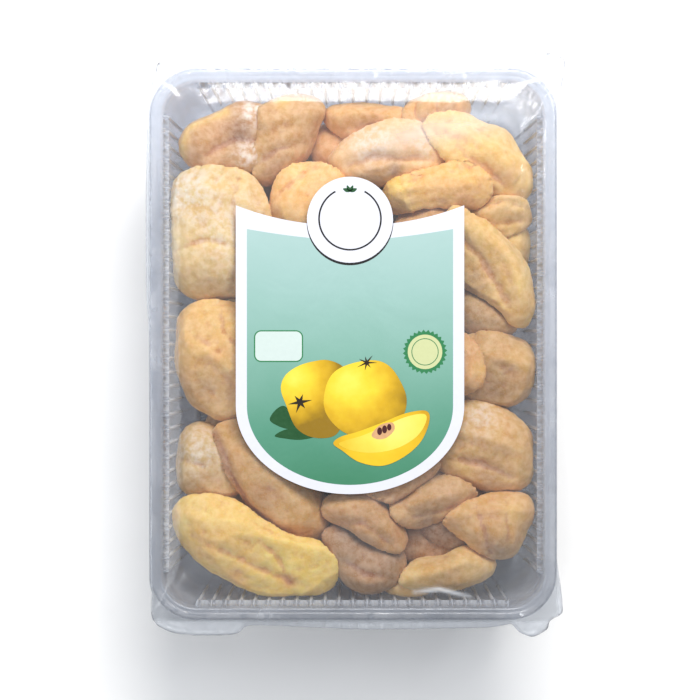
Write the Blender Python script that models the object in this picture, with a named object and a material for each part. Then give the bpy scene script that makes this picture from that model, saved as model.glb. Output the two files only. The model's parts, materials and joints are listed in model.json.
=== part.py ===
"""Overwrapped tray of dried quince slices.

A fluted clear tray holds a heap of dried quince slices. A clear shrink film is sealed round the tray,
with a gathered ear at each corner, and a paper label is stuck on the film.

The pack lies on its base. +X is across the tray, +Y is along it towards the label's badge, +Z is up,
and the origin is the middle of the underside. Dimensions are in millimetres, and become metres as each
mesh is made.
"""

import math
from dataclasses import dataclass

import bmesh
import bpy
import numpy as np
from mathutils import Vector, noise
from mathutils.bvhtree import BVHTree

MM = 0.001

# Driving dimensions of the tray: a 132 x 179 mm food tray.
TRAY_HALF = Vector((66.0, 89.5))
TRAY_CORNER = 15.0
TRAY_HEIGHT = 46.0
TRAY_WALL = 0.6
FLANGE_WIDTH = 3.6
LIP_DROP = 3.0
WALL_TAPER = 5.0
SIDE_FLUTES = 32
END_FLUTES = 22
FLUTE_DEPTH = 1.6
FLUTE_TOP = 5.0
CORNER_STEPS = 5

# The film, drawn thicker than the real 0.03 mm so that it is a solid.
FILM = 0.2
FILM_GAP = 0.3
FILM_HALF = Vector((67.6, 90.6))
FILM_CORNER = 14.0
FILM_RISE = 2.0
RISE_MARGIN = 12.0
SEAM_BAND = 2.0
EAR_REACH = Vector((4.9, 7.4))
VENT_RADIUS = 3.0
VENT_PLACE = Vector((30.0, -40.0))

# The label: straight sides, a rounded foot, two hollow shoulders and a round badge.
LABEL_AXIS = -1.0
LABEL_HALF_WIDTH = 37.0
LABEL_SHOULDER = 45.0
LABEL_HOLLOW = 38.5
LABEL_SIDE_END = -20.0
LABEL_FOOT = -48.5
BADGE_CENTRE = Vector((LABEL_AXIS, 40.3))
BADGE_RADIUS = 14.1
LABEL_THICKNESS = 0.2

# How slices lie on each other.
GAP = 0.35
SINK_SHARE = 0.8
LEAST_THICKNESS = 1.2
MOST_SWELL = 1.7
MAP_HALF = Vector((72, 95))

TRAY_BASE = FILM + FILM_GAP
FLOOR = TRAY_BASE + TRAY_WALL
FLANGE_TOP = TRAY_BASE + TRAY_HEIGHT
FILM_INSIDE = FLANGE_TOP + FILM_GAP + FILM_RISE


# The flesh's colours, as linear RGB. Dried flesh goes from pale, where sugar has dried on it, to brown.
TONES = {
    "pale": (0.62, 0.45, 0.27),
    "yellow": (0.79, 0.56, 0.19),
    "golden": (0.65, 0.42, 0.16),
    "amber": (0.55, 0.32, 0.12),
    "tan": (0.45, 0.27, 0.11),
    "brown": (0.30, 0.16, 0.07),
}


@dataclass
class Slice:
    """One dried slice, by the outline that it shows from above.

    outline: points round its edge, in plan. A smooth closed curve runs through them.
    thick: how thick it is before it settles. steep: 2 for a round back, 4 for a flat one with steep sides.
    crest: where its back is highest. Without it, the middle of the outline.
    tilt: how steeply it rises along X and along Y.
    scoop: depth of the hollow that the core left, at scoop_at and scoop_wide across.
    depth: how far the crown lies below the film. Without it, the slice lies where it falls.
    tone: the colour of the flesh. shares: its inner rings, from the crest at 0 to the edge at 1.
    """

    name: str
    outline: tuple
    thick: float = 17.0
    steep: float = 2.6
    crest: tuple = None
    tilt: tuple = (0.0, 0.0)
    scoop: float = 0.0
    scoop_at: tuple = (0.0, 0.0)
    scoop_wide: float = 12.0
    depth: float = None
    tone: str = "golden"
    columns: int = 20
    shares: tuple = (0.36, 0.66, 0.9)


def oval(at, heading, length, width):
    """Points round a blunt oval, for a slice that hardly shows."""
    turn = math.radians(heading)
    along = Vector((math.cos(turn), math.sin(turn)))
    across = Vector((-along.y, along.x))
    points = []
    for k in range(10):
        angle = 2 * math.pi * k / 10
        reach = 1 + 0.06 * math.cos(3 * angle + turn)
        spot = along * (length / 2 * reach * math.cos(angle))
        spot += across * (width / 2 * reach * math.sin(angle))
        points.append((at[0] + spot.x, at[1] + spot.y))
    return tuple(points)


# Slices that show through the film or lie under the label, from the lowest to the highest.
HEAP = (
    Slice(
        "low_slice_beside_date",
        ((-12, 72), (-5, 73), (0, 68), (3, 63), (1, 57), (-4, 54), (-10, 58), (-14, 64)),
        thick=15, depth=13, tone="pale",
    ),
    Slice(
        "low_slice_right_edge",
        ((45, 38), (51, 41), (57, 39), (59, 33), (57, 26), (51, 25), (46, 30)),
        depth=9,
    ),
    Slice(
        "low_slice_right_middle",
        ((30, 14), (35, 19), (42, 17), (49, 13), (54, 8), (53, 3), (44, 1), (36, 3), (30, 7)),
        thick=18, crest=(43, 9), depth=6,
    ),
    Slice("low_slice_lower_right", oval((32, -45), -25, 26, 15), thick=15, depth=10, tone="brown"),
    Slice(
        "low_slice_lower_middle",
        ((14, -66), (18, -60), (25, -57), (33, -60), (39, -64), (39, -69), (33, -72), (26, -74), (18, -73)),
        scoop=4, scoop_at=(27, -66), depth=11, tone="brown",
    ),
    Slice("low_slice_chip", oval((30.5, -60.5), -30, 17, 11), thick=12, depth=7, tone="brown"),
    Slice(
        "low_slice_bottom_edge",
        ((10, -80), (14, -76), (19, -76), (25, -80), (25, -83), (18, -84), (13, -83)),
        thick=12, depth=8, tone="pale",
    ),
    Slice("label_slice_upper_left", oval((-18, 22), 72, 35, 22), thick=19, depth=3, columns=12),
    Slice("label_slice_upper_middle", oval((5, 24), 96, 33, 20), thick=18, depth=2, tone="tan", columns=12),
    Slice("label_slice_left", oval((-16, -12), 104, 36, 22), thick=19, depth=2.5, tone="pale", columns=12),
    Slice("label_slice_middle", oval((6, -9), 80, 34, 20), thick=18, depth=3, columns=12),
    Slice("label_slice_right", oval((22, -14), 62, 34, 18), thick=18, depth=2, tone="tan", columns=12),
    Slice("label_slice_lower", oval((-3, -31), 8, 32, 17), thick=18, depth=2.5, columns=12),
    Slice("label_slice_upper_right", oval((22, 18), 66, 34, 18), thick=18, depth=3, columns=12),
    Slice(
        "amber_slice_top",
        ((-10, 77), (-4, 79), (4, 79), (12, 78), (20, 77), (22, 72), (15, 68), (6, 67), (-3, 68), (-9, 72)),
        depth=6, tone="amber", tilt=(0, 0.15),
    ),
    Slice(
        "knobbly_slice_top",
        (
            (16, 75), (18, 79), (22, 81), (28, 84), (33, 83), (38, 81), (38, 76), (33, 73), (25, 72),
            (18, 72),
        ),
        thick=18, depth=3.5, tone="amber", steep=2.2,
    ),
    Slice(
        "cored_slice_top_left",
        (
            (-57, 62), (-57, 68), (-54, 73), (-48, 75), (-42, 78), (-36, 80), (-30, 79), (-26, 76),
            (-27, 66),
            (-31, 56), (-40, 56), (-50, 56),
        ),
        thick=20, steep=3.4, scoop=6, scoop_at=(-37, 68), scoop_wide=9, depth=3, tone="tan",
    ),
    Slice(
        "broad_slice_top_left",
        (
            (-31, 78), (-25, 81), (-19, 83), (-13, 82), (-9, 80), (-10, 74), (-13, 67), (-17, 61),
            (-23, 56),
            (-28, 52), (-33, 54), (-33, 62), (-31, 70),
        ),
        thick=19, steep=3, crest=(-23, 69), depth=4, tone="tan",
    ),
    Slice(
        "pink_slice_top",
        (
            (-9, 60), (-5, 64), (1, 69), (6, 72), (12, 74), (20, 73), (26, 71), (33, 64), (31, 58),
            (20, 54),
            (10, 53), (2, 52), (-4, 53),
        ),
        steep=3.2, scoop=2.5, scoop_at=(13, 58), scoop_wide=8, depth=1.5, tone="pale",
    ),
    Slice(
        "long_slice_top_right",
        (
            (21, 72), (26, 76), (36, 76), (44, 73), (50, 71), (54, 65), (58, 60), (60, 54), (58, 49),
            (53, 46),
            (45, 48), (38, 53), (30, 60), (24, 67),
        ),
        thick=20, steep=2.4, crest=(42, 61), depth=1.5,
    ),
    Slice(
        "round_slice_by_badge",
        (
            (-28, 42), (-27, 50), (-23, 57), (-17, 60), (-10, 60), (-3, 55), (0, 46), (-4, 36),
            (-14, 32), (-23, 35),
        ),
        thick=19, steep=3, depth=2, tone="amber",
    ),
    Slice(
        "pale_slice_right",
        ((37, 43), (43, 47), (50, 49), (56, 48), (59, 43), (57, 38), (50, 35), (43, 37), (38, 40)),
        thick=16, depth=5, tone="tan",
    ),
    Slice(
        "slice_under_shoulder",
        ((13, 39), (18, 43), (24, 46), (30, 45), (35, 42), (38, 38), (34, 33), (25, 32), (16, 34)),
        thick=16, depth=3.5,
    ),
    Slice(
        "crescent_by_badge",
        (
            (9, 50), (13, 54), (19, 56), (26, 57), (31, 59), (37, 60), (42, 58), (46, 53), (46, 48),
            (42, 45),
            (36, 44), (29, 45), (22, 44), (16, 42), (11, 45),
        ),
        thick=19, steep=2, crest=(28, 52), depth=0.3,
    ),
    Slice(
        "half_moon_right",
        (
            (32, 46), (39, 43), (45, 39), (51, 34), (56, 28), (59, 22), (60, 14), (59, 8), (55, 4), (51, 8),
            (45, 14), (38, 18), (32, 25), (29, 36),
        ),
        steep=3, crest=(45, 27), depth=0.5,
    ),
    Slice(
        "block_slice_right",
        (
            (33, 0), (37, 3), (44, 4), (51, 3), (57, 1), (60, -3), (61, -9), (59, -15), (55, -19),
            (49, -21),
            (42, -20), (35, -18), (31, -10),
        ),
        thick=20, steep=3, crest=(49, -7), depth=3, tone="tan",
    ),
    Slice(
        "block_slice_upper_left",
        (
            (-59, 54), (-55, 58), (-47, 59), (-38, 58), (-32, 54), (-28, 46), (-25, 38), (-26, 28),
            (-29, 19),
            (-38, 15), (-48, 14), (-56, 16), (-60, 24), (-61, 34), (-61, 45),
        ),
        thick=20, steep=4, depth=0.8, tone="pale",
    ),
    Slice(
        "block_slice_left",
        (
            (-58, 3), (-58, 9), (-54, 14), (-47, 15), (-38, 14), (-30, 10), (-27, 1), (-28, -11),
            (-33, -21),
            (-40, -26), (-48, -23), (-54, -19), (-57, -12), (-59, -4),
        ),
        thick=20, steep=2.8, crest=(-44, -3), depth=2, tone="amber",
    ),
    Slice(
        "slab_slice_lower_right",
        (
            (27, -24), (32, -19), (40, -19), (48, -21), (54, -24), (59, -29), (61, -36), (60, -43),
            (56, -48),
            (49, -48), (41, -48), (34, -45), (27, -40), (25, -32),
        ),
        steep=3.6, depth=2.5, tone="amber",
    ),
    Slice(
        "thin_slice_right",
        ((32, 2), (36, 4), (40, 0), (43, -6), (43, -12), (40, -15), (35, -17), (31, -10), (30, -4)),
        thick=12, steep=3, depth=0.8, tone="amber",
    ),
    Slice(
        "slice_lower_left_edge",
        (
            (-58, -34), (-56, -29), (-51, -26), (-46, -27), (-43, -32), (-41, -38), (-38, -44), (-38, -50),
            (-45, -51), (-52, -50), (-57, -47), (-58, -40),
        ),
        thick=18, steep=3, depth=5, tone="pale",
    ),
    Slice(
        "wedge_slice_lower_left",
        (
            (-47, -27), (-42, -25), (-36, -25), (-26, -34), (-17, -41), (-11, -48), (-8, -56), (-8, -64),
            (-16, -65), (-25, -62), (-32, -57), (-38, -48), (-43, -38),
        ),
        thick=20, steep=3, crest=(-27, -45), depth=2, tone="tan",
    ),
    Slice(
        "cored_slice_bottom",
        (
            (-10, -62), (-5, -60), (3, -61), (10, -64), (16, -67), (18, -72), (15, -77), (11, -81),
            (3, -82),
            (-3, -79), (-7, -72),
        ),
        thick=19, steep=3, scoop=4, scoop_at=(6, -66), scoop_wide=9, depth=3, tone="brown",
    ),
    Slice(
        "lid_slice_bottom",
        (
            (-11, -54), (-8, -50), (-2, -48), (5, -49), (12, -54), (17, -60), (18, -65), (15, -69),
            (9, -67),
            (3, -63), (-4, -59), (-9, -57),
        ),
        thick=15, steep=2.6, crest=(4, -56), depth=0.5, tone="tan",
    ),
    Slice(
        "slice_below_label",
        (
            (11, -54), (16, -49), (23, -45), (32, -43), (40, -46), (42, -49), (37, -53), (30, -57),
            (20, -60), (14, -58),
        ),
        steep=2.6, depth=1.5, tone="tan",
    ),
    Slice(
        "slice_under_label_foot",
        (
            (-2, -46), (5, -49), (13, -52), (20, -47), (27, -42), (29, -38), (22, -35), (12, -37),
            (3, -40), (-3, -43),
        ),
        thick=15, depth=0.3, tone="tan",
    ),
    Slice(
        "crescent_bottom_right",
        (
            (14, -78), (18, -73), (24, -71), (30, -70), (34, -67), (39, -66), (45, -70), (47, -73),
            (43, -77),
            (36, -80), (27, -81), (19, -80),
        ),
        thick=16, steep=2.2, crest=(33, -74), depth=2.5,
    ),
    Slice(
        "shell_slice_bottom_right",
        (
            (28, -58), (32, -54), (38, -51), (45, -49), (53, -49), (59, -51), (60, -55), (57, -61),
            (54, -67),
            (51, -71), (45, -70), (39, -66), (33, -62),
        ),
        steep=2.6, crest=(47, -58), depth=0.8, tone="amber",
    ),
    Slice(
        "yellow_crescent",
        (
            (-60, -58), (-59, -52), (-54, -49), (-45, -49), (-37, -52), (-29, -58), (-22, -62), (-14, -64),
            (-8, -66), (-4, -72), (-5, -79), (-11, -83), (-21, -84), (-32, -82), (-43, -77), (-52, -71),
            (-58, -65),
        ),
        thick=20, steep=2.2, crest=(-33, -64), depth=0.2, tone="yellow", columns=24,
    ),
)

# The floor of the tray is covered by slices laid in rows, which hardly show.
FLOOR_COLUMNS = 3
FLOOR_ROWS = 5
FLOOR_PITCH = Vector((35.0, 31.0))
FLOOR_TURNS = (20, 95, 160, 65, 130)
FLOOR_TONES = ("golden", "tan", "pale", "amber")


# ---------------------------------------------------------------- meshes


def new_object(name, verts, faces, material):
    """One object from points in millimetres, with its origin in its middle and its faces pointing out."""
    points = [Vector(v) for v in verts]
    middle = sum(points, Vector()) / len(points)
    mesh = bpy.data.meshes.new(name)
    mesh.from_pydata([(p - middle) * MM for p in points], [], faces)
    bm = bmesh.new()
    bm.from_mesh(mesh)
    if bm.calc_volume(signed=True) < 0:
        bmesh.ops.reverse_faces(bm, faces=bm.faces)
    bm.to_mesh(mesh)
    bm.free()
    mesh.shade_smooth()
    mesh.set_sharp_from_angle(angle=math.radians(50))
    mesh.materials.append(material)
    obj = bpy.data.objects.new(name, mesh)
    obj.location = middle * MM
    bpy.context.scene.collection.objects.link(obj)
    return obj


def plastic(name, colour, roughness, alpha=1.0):
    material = bpy.data.materials.new(name)
    material.use_nodes = True
    shader = material.node_tree.nodes["Principled BSDF"]
    shader.inputs["Base Color"].default_value = (*colour, 1.0)
    shader.inputs["Roughness"].default_value = roughness
    shader.inputs["Alpha"].default_value = alpha
    return material


def skin(rings, closed=False):
    """Faces that join equal rings of points in turn. A ring of one point is a pole.

    With closed, the last ring also joins the first, as round a tunnel.
    """
    verts = []
    starts = []
    for ring in rings:
        starts.append(len(verts))
        verts.extend(ring)
    faces = []
    pairs = list(zip(range(len(rings) - 1), range(1, len(rings))))
    if closed:
        pairs.append((len(rings) - 1, 0))
    for i, j in pairs:
        a, b = starts[i], starts[j]
        count = max(len(rings[i]), len(rings[j]))
        for k in range(count):
            n = (k + 1) % count
            if len(rings[i]) == 1:
                faces.append((a, b + n, b + k))
            elif len(rings[j]) == 1:
                faces.append((b, a + k, a + n))
            else:
                faces += [(a + k, a + n, b + n), (a + k, b + n, b + k)]
    return verts, faces


# ---------------------------------------------------------------- tray


def fluted_ring(half, corner, height, flute=0.0):
    """A rounded rectangle whose straight sides carry the flutes, pushed out by flute at each crest."""
    ring = []
    sides = (
        (Vector((1, 0)), Vector((0, 1)), half.x, half.y, SIDE_FLUTES),
        (Vector((0, 1)), Vector((-1, 0)), half.y, half.x, END_FLUTES),
        (Vector((-1, 0)), Vector((0, -1)), half.x, half.y, SIDE_FLUTES),
        (Vector((0, -1)), Vector((1, 0)), half.y, half.x, END_FLUTES),
    )
    for outward, along, away, reach, flutes in sides:
        run = reach - corner
        for k in range(2 * flutes + 1):
            place = -run + 2 * run * k / (2 * flutes)
            depth = flute if k % 2 else 0.0
            ring.append(outward * (away + depth) + along * place)
        centre = outward * (away - corner) + along * run
        for k in range(1, CORNER_STEPS):
            angle = math.pi / 2 * k / CORNER_STEPS
            ring.append(centre + corner * (outward * math.cos(angle) + along * math.sin(angle)))
    return [(p.x, p.y, height) for p in ring]


def well_half(height, inset=0.0):
    """Half sizes of the well's inner wall at a height, between the flutes, less an inset."""
    share = (height - FLOOR) / (FLANGE_TOP - FLOOR)
    top = TRAY_HALF - Vector((1, 1)) * (FLANGE_WIDTH + FLUTE_DEPTH)
    return top - Vector((1, 1)) * (WALL_TAPER * (1 - share) + inset)


def build_tray(material):
    one = Vector((1, 1))
    flute_top = FLANGE_TOP - FLUTE_TOP
    corner = TRAY_CORNER - FLANGE_WIDTH
    rim = well_half(FLANGE_TOP) + one * FLUTE_DEPTH
    inner = [
        [(0, 0, FLOOR)],
        fluted_ring(well_half(FLOOR), corner, FLOOR),
        fluted_ring(well_half(flute_top), corner, flute_top, FLUTE_DEPTH),
        fluted_ring(rim, corner, FLANGE_TOP - 1.0),
        fluted_ring(rim + one * 0.6, corner, FLANGE_TOP),
        fluted_ring(TRAY_HALF, TRAY_CORNER, FLANGE_TOP),
        fluted_ring(TRAY_HALF, TRAY_CORNER, FLANGE_TOP - LIP_DROP),
    ]
    wall = one * TRAY_WALL
    outer = [
        fluted_ring(TRAY_HALF - wall, TRAY_CORNER, FLANGE_TOP - LIP_DROP),
        fluted_ring(TRAY_HALF - wall, TRAY_CORNER, FLANGE_TOP - TRAY_WALL),
        fluted_ring(rim + wall + one * 0.4, corner, FLANGE_TOP - TRAY_WALL),
        fluted_ring(well_half(flute_top) + wall, corner, flute_top, FLUTE_DEPTH),
        fluted_ring(well_half(FLOOR) + wall, corner, TRAY_BASE),
        [(0, 0, TRAY_BASE)],
    ]
    return new_object("tray", *skin(inner + outer), material)


# ---------------------------------------------------------------- film


def film_ring(half, corner, height, points=12, spread=0.0):
    """A rounded rectangle, round at its corners. spread draws out its corner ears and its end seams."""
    ring = []
    for quarter in range(4):
        start = quarter * math.pi / 2
        sign = Vector((1 if quarter in (0, 3) else -1, 1 if quarter in (0, 1) else -1))
        centre = Vector((sign.x * (half.x - corner), sign.y * (half.y - corner)))
        for k in range(points):
            share = k / (points - 1)
            angle = start + math.pi / 2 * share
            out = Vector((math.cos(angle), math.sin(angle)))
            bell = spread * math.exp(-(((share - 0.5) / 0.22) ** 2))
            point = centre + out * corner + bell * Vector((sign.x * EAR_REACH.x, sign.y * EAR_REACH.y))
            point.y += spread * SEAM_BAND * out.y * abs(out.y)
            ring.append((point.x, point.y, height))
    return ring


def film_surface(inset):
    """Rings of the film's outer face, or of its inner face when inset is the film's thickness."""
    one = Vector((1, 1))
    half = FILM_HALF - one * inset
    base = well_half(FLOOR) + one * (TRAY_WALL + FILM_GAP + FILM - inset)
    rise = FILM_HALF - one * RISE_MARGIN
    under = inset
    lip = FLANGE_TOP - LIP_DROP - FILM_GAP - FILM + inset
    edge = FLANGE_TOP + FILM_GAP + FILM - inset
    top = FILM_INSIDE + FILM - inset
    outward = 1.0 if inset == 0 else 0.35
    return [
        film_ring(base, FILM_CORNER - 4, under),
        film_ring(half, FILM_CORNER, lip),
        film_ring(half, FILM_CORNER, (lip + edge) / 2, spread=outward),
        film_ring(half - one * 0.4, FILM_CORNER, edge),
        film_ring(rise, FILM_CORNER - 6, top),
        [(0, 0, top)],
    ]


def build_film(material):
    """A closed skin round the tray. A vent hole in its underside joins the outer face to the inner one."""
    outer = film_surface(0.0)
    inner = film_surface(FILM)
    count = len(outer[0])
    vents = []
    for height in (0.0, FILM):
        circle = [
            (
                VENT_PLACE.x + VENT_RADIUS * math.cos(2 * math.pi * (k + 0.5) / count),
                VENT_PLACE.y + VENT_RADIUS * math.sin(2 * math.pi * (k + 0.5) / count),
                height,
            )
            for k in range(count)
        ]
        vents.append(circle)
    outside = outer[::-1] + [vents[0]]
    inside = [vents[1]] + inner
    return new_object("film_wrap", *skin(outside + inside), material)


# ---------------------------------------------------------------- label


def arc_points(centre, radius_x, radius_y, start, end, steps):
    """Points of an ellipse's arc, between two angles in degrees, both ends included."""
    points = []
    for k in range(steps + 1):
        angle = math.radians(start + (end - start) * k / steps)
        points.append(centre + Vector((radius_x * math.cos(angle), radius_y * math.sin(angle))))
    return points


def label_outline():
    """The label's edge, anticlockwise from the right end of its foot."""
    side = LABEL_HALF_WIDTH
    foot = arc_points(Vector((LABEL_AXIS, LABEL_SIDE_END)), side, LABEL_SIDE_END - LABEL_FOOT, 180, 360, 24)
    rise = LABEL_SHOULDER - LABEL_HOLLOW
    join = math.degrees(math.asin((LABEL_HOLLOW - BADGE_CENTRE.y) / BADGE_RADIUS))
    badge = arc_points(BADGE_CENTRE, BADGE_RADIUS, BADGE_RADIUS, join, 180 - join, 18)

    def shoulder(tip_x, badge_x):
        points = []
        for k in range(8):
            share = k / 7
            x = tip_x + (badge_x - tip_x) * share
            points.append(Vector((x, LABEL_HOLLOW + rise * (1 - share) ** 2.4)))
        return points

    right = shoulder(LABEL_AXIS + side, badge[0].x + 0.5)
    left = shoulder(LABEL_AXIS - side, badge[-1].x - 0.5)[::-1]
    return foot + right + badge + left


def build_label(material):
    """A flat plate just above the film."""
    low = FILM_INSIDE + FILM + FILM_GAP
    bm = bmesh.new()
    corners = [bm.verts.new((p.x * MM, p.y * MM, 0)) for p in label_outline()]
    plate = bm.faces.new(corners)
    lifted = bmesh.ops.extrude_face_region(bm, geom=[plate])["geom"]
    moved = [v for v in lifted if isinstance(v, bmesh.types.BMVert)]
    bmesh.ops.translate(bm, vec=(0, 0, LABEL_THICKNESS * MM), verts=moved)
    bmesh.ops.recalc_face_normals(bm, faces=bm.faces)
    mesh = bpy.data.meshes.new("label")
    bm.to_mesh(mesh)
    bm.free()
    mesh.materials.append(material)
    obj = bpy.data.objects.new("label", mesh)
    obj.location.z = low * MM
    bpy.context.scene.collection.objects.link(obj)
    return obj


# ---------------------------------------------------------------- slices


def closed_curve(points, count):
    """Equally spaced points on a smooth closed curve through the given ones."""
    knots = [Vector(p) for p in points]
    dense = []
    for i in range(len(knots)):
        a, b, c, d = (knots[(i + k - 1) % len(knots)] for k in range(4))
        for step in range(12):
            t = step / 12
            part = 2 * b + (c - a) * t
            part += (2 * a - 5 * b + 4 * c - d) * t**2
            part += (3 * b - a - 3 * c + d) * t**3
            dense.append(part * 0.5)
    runs = [(dense[(i + 1) % len(dense)] - p).length for i, p in enumerate(dense)]
    out = []
    passed = 0.0
    for p, run in zip(dense, runs):
        while len(out) < count and passed + run > sum(runs) * len(out) / count:
            out.append(p)
        passed += run
    return out


def middle_of(points):
    """The centre of area of a plan outline."""
    area = 0.0
    total = Vector((0, 0))
    for a, b in zip(points, points[1:] + points[:1]):
        cross = a.x * b.y - b.x * a.y
        area += cross
        total += (a + b) * cross
    return total / (3 * area)


def slice_columns(cut, seed):
    """The slice as rings of columns, from its crest to its edge. A column is (plan point, low, high)."""
    edge = closed_curve(cut.outline, cut.columns)
    crest = Vector(cut.crest) if cut.crest else middle_of(edge)
    lumps = Vector((seed * 7.3, seed * 3.1, seed * 5.7))
    rings = []
    for share in (0, *cut.shares, 1):
        dome = (1 - share**cut.steep) ** 0.5
        ring = []
        for rim in [crest] if share == 0 else edge:
            plan = crest + (rim - crest) * share
            lift = Vector(cut.tilt).dot(plan - crest)
            swell = 1.3 * noise.noise(Vector((plan.x, plan.y, 0)) * 0.09 + lumps)
            high = 0.6 * cut.thick * dome + swell * dome
            if cut.scoop:
                away = (plan - Vector(cut.scoop_at)).length / cut.scoop_wide
                high -= cut.scoop * dome * math.exp(-(away**2))
            ring.append((plan, lift - 0.4 * cut.thick * dome, lift + high))
        rings.append(ring)
    return rings


class Heap:
    """The heap's upper surface as a height map, in cells of one millimetre, and the slices laid so far."""

    def __init__(self):
        self.size = (int(2 * MAP_HALF.x) + 1, int(2 * MAP_HALF.y) + 1)
        self.top = np.full(self.size, FLOOR, float)
        self.laid = []

    def reached(self, reach):
        """The height map with each cell raised to the highest cell within reach."""
        padded = np.pad(self.top, reach, mode="edge")
        out = self.top.copy()
        for dx in range(-reach, reach + 1):
            for dy in range(-reach, reach + 1):
                if dx * dx + dy * dy > reach * reach + 1:
                    continue
                part = padded[reach + dx:, reach + dy:][: self.size[0], : self.size[1]]
                out = np.maximum(out, part)
        return out

    def cell(self, point):
        x = min(max(int(round(point.x + MAP_HALF.x)), 0), self.size[0] - 1)
        y = min(max(int(round(point.y + MAP_HALF.y)), 0), self.size[1] - 1)
        return x, y

    def add(self, points, faces):
        """Raises the map to the slice's upper surface."""
        tree = BVHTree.FromPolygons(points, faces)
        low = [min(p[axis] for p in points) for axis in range(2)]
        high = [max(p[axis] for p in points) for axis in range(2)]
        for x in range(math.floor(low[0]), math.ceil(high[0]) + 1):
            for y in range(math.floor(low[1]), math.ceil(high[1]) + 1):
                hit = tree.ray_cast(Vector((x, y, 200)), Vector((0, 0, -1)))[0]
                if hit:
                    cell = self.cell(Vector((x, y)))
                    self.top[cell] = max(self.top[cell], hit.z)
        self.laid.append(tree)


def keep_in_well(point):
    """Moves a point inwards until it is clear of the tray's wall at its height."""
    half = well_half(min(max(point.z, FLOOR), FLANGE_TOP), inset=GAP + 0.1)
    corner = TRAY_CORNER - FLANGE_WIDTH
    x = min(max(point.x, -half.x), half.x)
    y = min(max(point.y, -half.y), half.y)
    over = Vector((abs(x) - (half.x - corner), abs(y) - (half.y - corner)))
    if over.x > 0 and over.y > 0 and over.length > corner:
        over *= corner / over.length
        x = math.copysign(half.x - corner + over.x, x)
        y = math.copysign(half.y - corner + over.y, y)
    return Vector((x, y, point.z))


def ceiling(point):
    """The height of the film's inner face over a point, less the gap."""
    over = [FILM_HALF.x - abs(point.x) - 0.6, FILM_HALF.y - abs(point.y) - 0.6]
    slope = FILM_RISE / (RISE_MARGIN - 0.4)
    return min(FILM_INSIDE, FLANGE_TOP + FILM_GAP + slope * max(min(over) - 2, 0)) - GAP


def squeeze(rings, floor_at):
    """Presses each column of the slice into the room between the heap below and the film above."""
    pressed = []
    for ring in rings:
        out = []
        for plan, low, high in ring:
            top = ceiling(plan)
            base = max(low, floor_at(plan) + GAP)
            crown = min(max(high, base + LEAST_THICKNESS), top)
            out.append((plan, min(base, crown - LEAST_THICKNESS / 2), crown))
        pressed.append(out)
    return pressed


def shell(rings):
    """The slice's skin: from its crest over the edge to its underside."""
    upper = [[Vector((p.x, p.y, high)) for p, low, high in ring] for ring in rings[:-1]]
    edge = [Vector((p.x, p.y, (low + high) / 2)) for p, low, high in rings[-1]]
    lower = [[Vector((p.x, p.y, low)) for p, low, high in ring] for ring in rings[:-1]]
    loops = upper + [edge] + lower[::-1]
    return skin([[keep_in_well(p) for p in loop] for loop in loops])


def set_height(heap, cut, rings):
    """Moves the slice to its height. If there is room below it, it is swollen to fill some of it."""
    ground = heap.reached(2)
    columns = [column for ring in rings for column in ring]
    lifts = sorted(ground[heap.cell(plan)] + GAP - low for plan, low, high in columns)
    lift = lifts[int(SINK_SHARE * (len(lifts) - 1))]
    if cut.depth is None:
        return [[(plan, low + lift, high + lift) for plan, low, high in ring] for ring in rings]
    lowest = min(low for plan, low, high in columns)
    highest = max(high for plan, low, high in columns)
    crown = FILM_INSIDE - GAP - cut.depth
    swell = min(max((crown - lowest - lift) / (highest - lowest), 1.0), MOST_SWELL)
    out = []
    for ring in rings:
        sized = [(p, (low - highest) * swell, (high - highest) * swell) for p, low, high in ring]
        out.append([(p, crown + low, crown + high) for p, low, high in sized])
    return out


def lay(heap, cut, seed):
    """Lays a slice on the heap, presses it to fit, and makes its object."""
    rings = set_height(heap, cut, slice_columns(cut, seed))
    for reach in range(2, 12):
        ground = heap.reached(reach)
        points, faces = shell(squeeze(rings, lambda p: ground[heap.cell(p)]))
        tree = BVHTree.FromPolygons(points, faces)
        if not any(tree.overlap(other) for other in heap.laid):
            break
    heap.add(points, faces)
    flesh = plastic(f"{cut.name}_flesh", TONES[cut.tone], 0.6)
    return new_object(cut.name, points, faces, flesh)


def floor_slices():
    """Slices in rows on the tray's floor, each turned from its neighbours."""
    cuts = []
    for row in range(FLOOR_ROWS):
        for column in range(FLOOR_COLUMNS):
            number = row * FLOOR_COLUMNS + column
            x = (column - (FLOOR_COLUMNS - 1) / 2) * FLOOR_PITCH.x
            y = (row - (FLOOR_ROWS - 1) / 2) * FLOOR_PITCH.y
            turn = FLOOR_TURNS[number % len(FLOOR_TURNS)]
            cuts.append(
                Slice(
                    f"floor_slice_{number + 1:02d}",
                    oval((x, y), turn, 38 + 2 * math.sin(number), 29 + 2 * math.cos(2 * number)),
                    thick=31 + math.sin(3 * number),
                    tone=FLOOR_TONES[number % len(FLOOR_TONES)],
                    columns=12,
                    shares=(0.5, 0.85),
                )
            )
    return cuts


def build_slices():
    heap = Heap()
    for seed, cut in enumerate(floor_slices() + list(HEAP)):
        lay(heap, cut, seed)


def main():
    for obj in list(bpy.data.objects):
        bpy.data.objects.remove(obj)
    build_tray(plastic("clear_tray", (0.86, 0.88, 0.90), 0.08, alpha=0.25))
    build_slices()
    build_film(plastic("clear_film", (0.92, 0.94, 0.96), 0.05, alpha=0.15))
    build_label(plastic("label_paper", (0.55, 0.74, 0.66), 0.4))


main()
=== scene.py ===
"""The looks of an overwrapped tray of dried quince slices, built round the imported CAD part."""

import json
import math

import bmesh
import bpy
import numpy as np
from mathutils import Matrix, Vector, noise


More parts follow.
